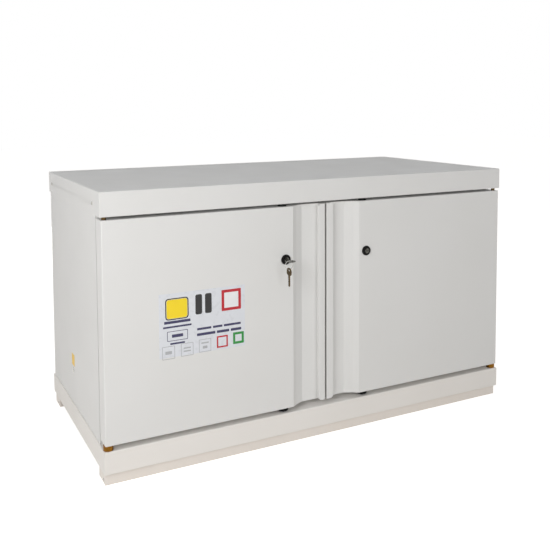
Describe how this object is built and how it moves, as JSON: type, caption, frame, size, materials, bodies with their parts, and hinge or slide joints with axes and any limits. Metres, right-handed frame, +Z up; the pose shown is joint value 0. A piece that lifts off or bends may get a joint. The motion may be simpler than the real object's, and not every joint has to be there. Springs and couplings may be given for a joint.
{
  "type": "fire-resistant under-bench cabinet",
  "caption": "Low insulated steel cabinet on plinth channels, with hinged doors, full-height finger grips, keyed rod locks, a shelf, a spill basin and duct spigots.",
  "frame": {"origin": "on the floor under the middle of the cabinet, which is the bottom centre of its box", "axes": "+X to the right along the width, +Y from the doors to the back, +Z up"},
  "size_m": [1.1032, 0.62, 0.632],
  "materials": {
    "paint": "smooth satin white powder coat",
    "plinth_paint": "satin powder coat, warmer off-white",
    "galvanised": "dull zinc",
    "steel": "bright nickel",
    "brass": "worn brass",
    "board": "mineral fibre board, matt",
    "black_plastic": "moulded, slight sheen",
    "seal": "graphite grey, matt",
    "label_film": "thin film with plain colour blocks",
    "yellow_label": "plain yellow film"
  },
  "bodies": {
    "root": {"top_cover": "paint", "base_pan": "paint", "side_panel_left": "paint", "side_panel_right": "paint", "back_panel": "paint", "plinth_front": "plinth_paint", "plinth_rear": "plinth_paint", "front_frame": "paint", "frame_strips": "seal", "inner_liner": "paint", "liner_back": "paint", "side_boards": "board", "top_board": "board", "bottom_board": "board", "back_board": "board", "shelf": "paint", "shelf_rails": "galvanised", "shelf_clips": "steel", "spill_basin": "galvanised", "outlet_spigot": "galvanised", "inlet_spigot": "galvanised", "vent_grilles": "paint", "cover_screws": "steel", "plinth_rivets": "steel", "earth_stud": "steel", "earth_label": "yellow_label", "hinge_plates": "galvanised", "hinge_pins": "steel", "hinge_bushes": "brass", "rod_keepers": "galvanised"},
    "door_left": {"door_skin_left": "paint", "door_inner_left": "paint", "door_core_left": "board", "door_gasket_left": "seal", "edge_strip_left": "seal", "lock_rose_left": "black_plastic", "lock_case_left": "galvanised", "rod_guides_left": "black_plastic", "hinge_blocks_left": "galvanised", "door_label": "label_film"},
    "door_right": {"door_skin_right": "paint", "door_inner_right": "paint", "door_core_right": "board", "door_gasket_right": "seal", "edge_strip_right": "seal", "lock_rose_right": "black_plastic", "lock_case_right": "galvanised", "rod_guides_right": "black_plastic", "hinge_blocks_right": "galvanised"},
    "barrel_left": {"lock_barrel_left": "steel", "key_left": "steel"},
    "barrel_right": {"lock_barrel_right": "steel"},
    "rod_lower_left": {"rod_lower_left": "galvanised"},
    "rod_upper_left": {"rod_upper_left": "galvanised"},
    "rod_lower_right": {"rod_lower_right": "galvanised"},
    "rod_upper_right": {"rod_upper_right": "galvanised"},
    "hanging_keys": {"key_ring": "steel", "spare_key": "brass"},
    "outlet_damper": {"outlet_damper": "steel"},
    "inlet_damper": {"inlet_damper": "steel"}
  },
  "joints": [
    {"name": "door_left_swing", "type": "hinge", "parent": "root", "child": "door_left", "pos_m": [-0.538, -0.258, 0.33], "axis": [0, 0, -1], "range_deg": [0, 100]},
    {"name": "lock_left_turn", "type": "hinge", "parent": "door_left", "child": "barrel_left", "pos_m": [-0.113, -0.27, 0.447], "axis": [0, -1, 0], "range_deg": [0, 90]},
    {"name": "rod_lower_left_slide", "type": "slide", "parent": "door_left", "child": "rod_lower_left", "axis": [0, 0, -1], "range_m": [0, 0.01414]},
    {"name": "rod_upper_left_slide", "type": "slide", "parent": "door_left", "child": "rod_upper_left", "axis": [0, 0, 1], "range_m": [0, 0.01414]},
    {"name": "door_right_swing", "type": "hinge", "parent": "root", "child": "door_right", "pos_m": [0.538, -0.258, 0.33], "axis": [0, 0, 1], "range_deg": [0, 100]},
    {"name": "lock_right_turn", "type": "hinge", "parent": "door_right", "child": "barrel_right", "pos_m": [0.113, -0.27, 0.447], "axis": [0, 1, 0], "range_deg": [0, 90]},
    {"name": "rod_lower_right_slide", "type": "slide", "parent": "door_right", "child": "rod_lower_right", "axis": [0, 0, -1], "range_m": [0, 0.01414]},
    {"name": "rod_upper_right_slide", "type": "slide", "parent": "door_right", "child": "rod_upper_right", "axis": [0, 0, 1], "range_m": [0, 0.01414]},
    {"name": "keys_hang", "type": "hinge", "parent": "barrel_left", "child": "hanging_keys", "pos_m": [-0.113, -0.299, 0.447], "axis": [1, 0, 0], "range_deg": [-20, 20]},
    {"name": "outlet_damper_turn", "type": "hinge", "parent": "root", "child": "outlet_damper", "pos_m": [-0.25, 0.26, 0.49], "axis": [0, 0, 1], "range_deg": [0, 90]},
    {"name": "inlet_damper_turn", "type": "hinge", "parent": "root", "child": "inlet_damper", "pos_m": [0.25, 0.26, 0.205], "axis": [0, 0, 1], "range_deg": [0, 90]}
  ],
  "couplings": [
    {"joint": "lock_left_turn", "follows": "rod_lower_left_slide", "rad_per_m": 111.11},
    {"joint": "rod_upper_left_slide", "follows": "rod_lower_left_slide", "ratio": 1},
    {"joint": "lock_right_turn", "follows": "rod_lower_right_slide", "rad_per_m": 111.11},
    {"joint": "rod_upper_right_slide", "follows": "rod_lower_right_slide", "ratio": 1}
  ]
}
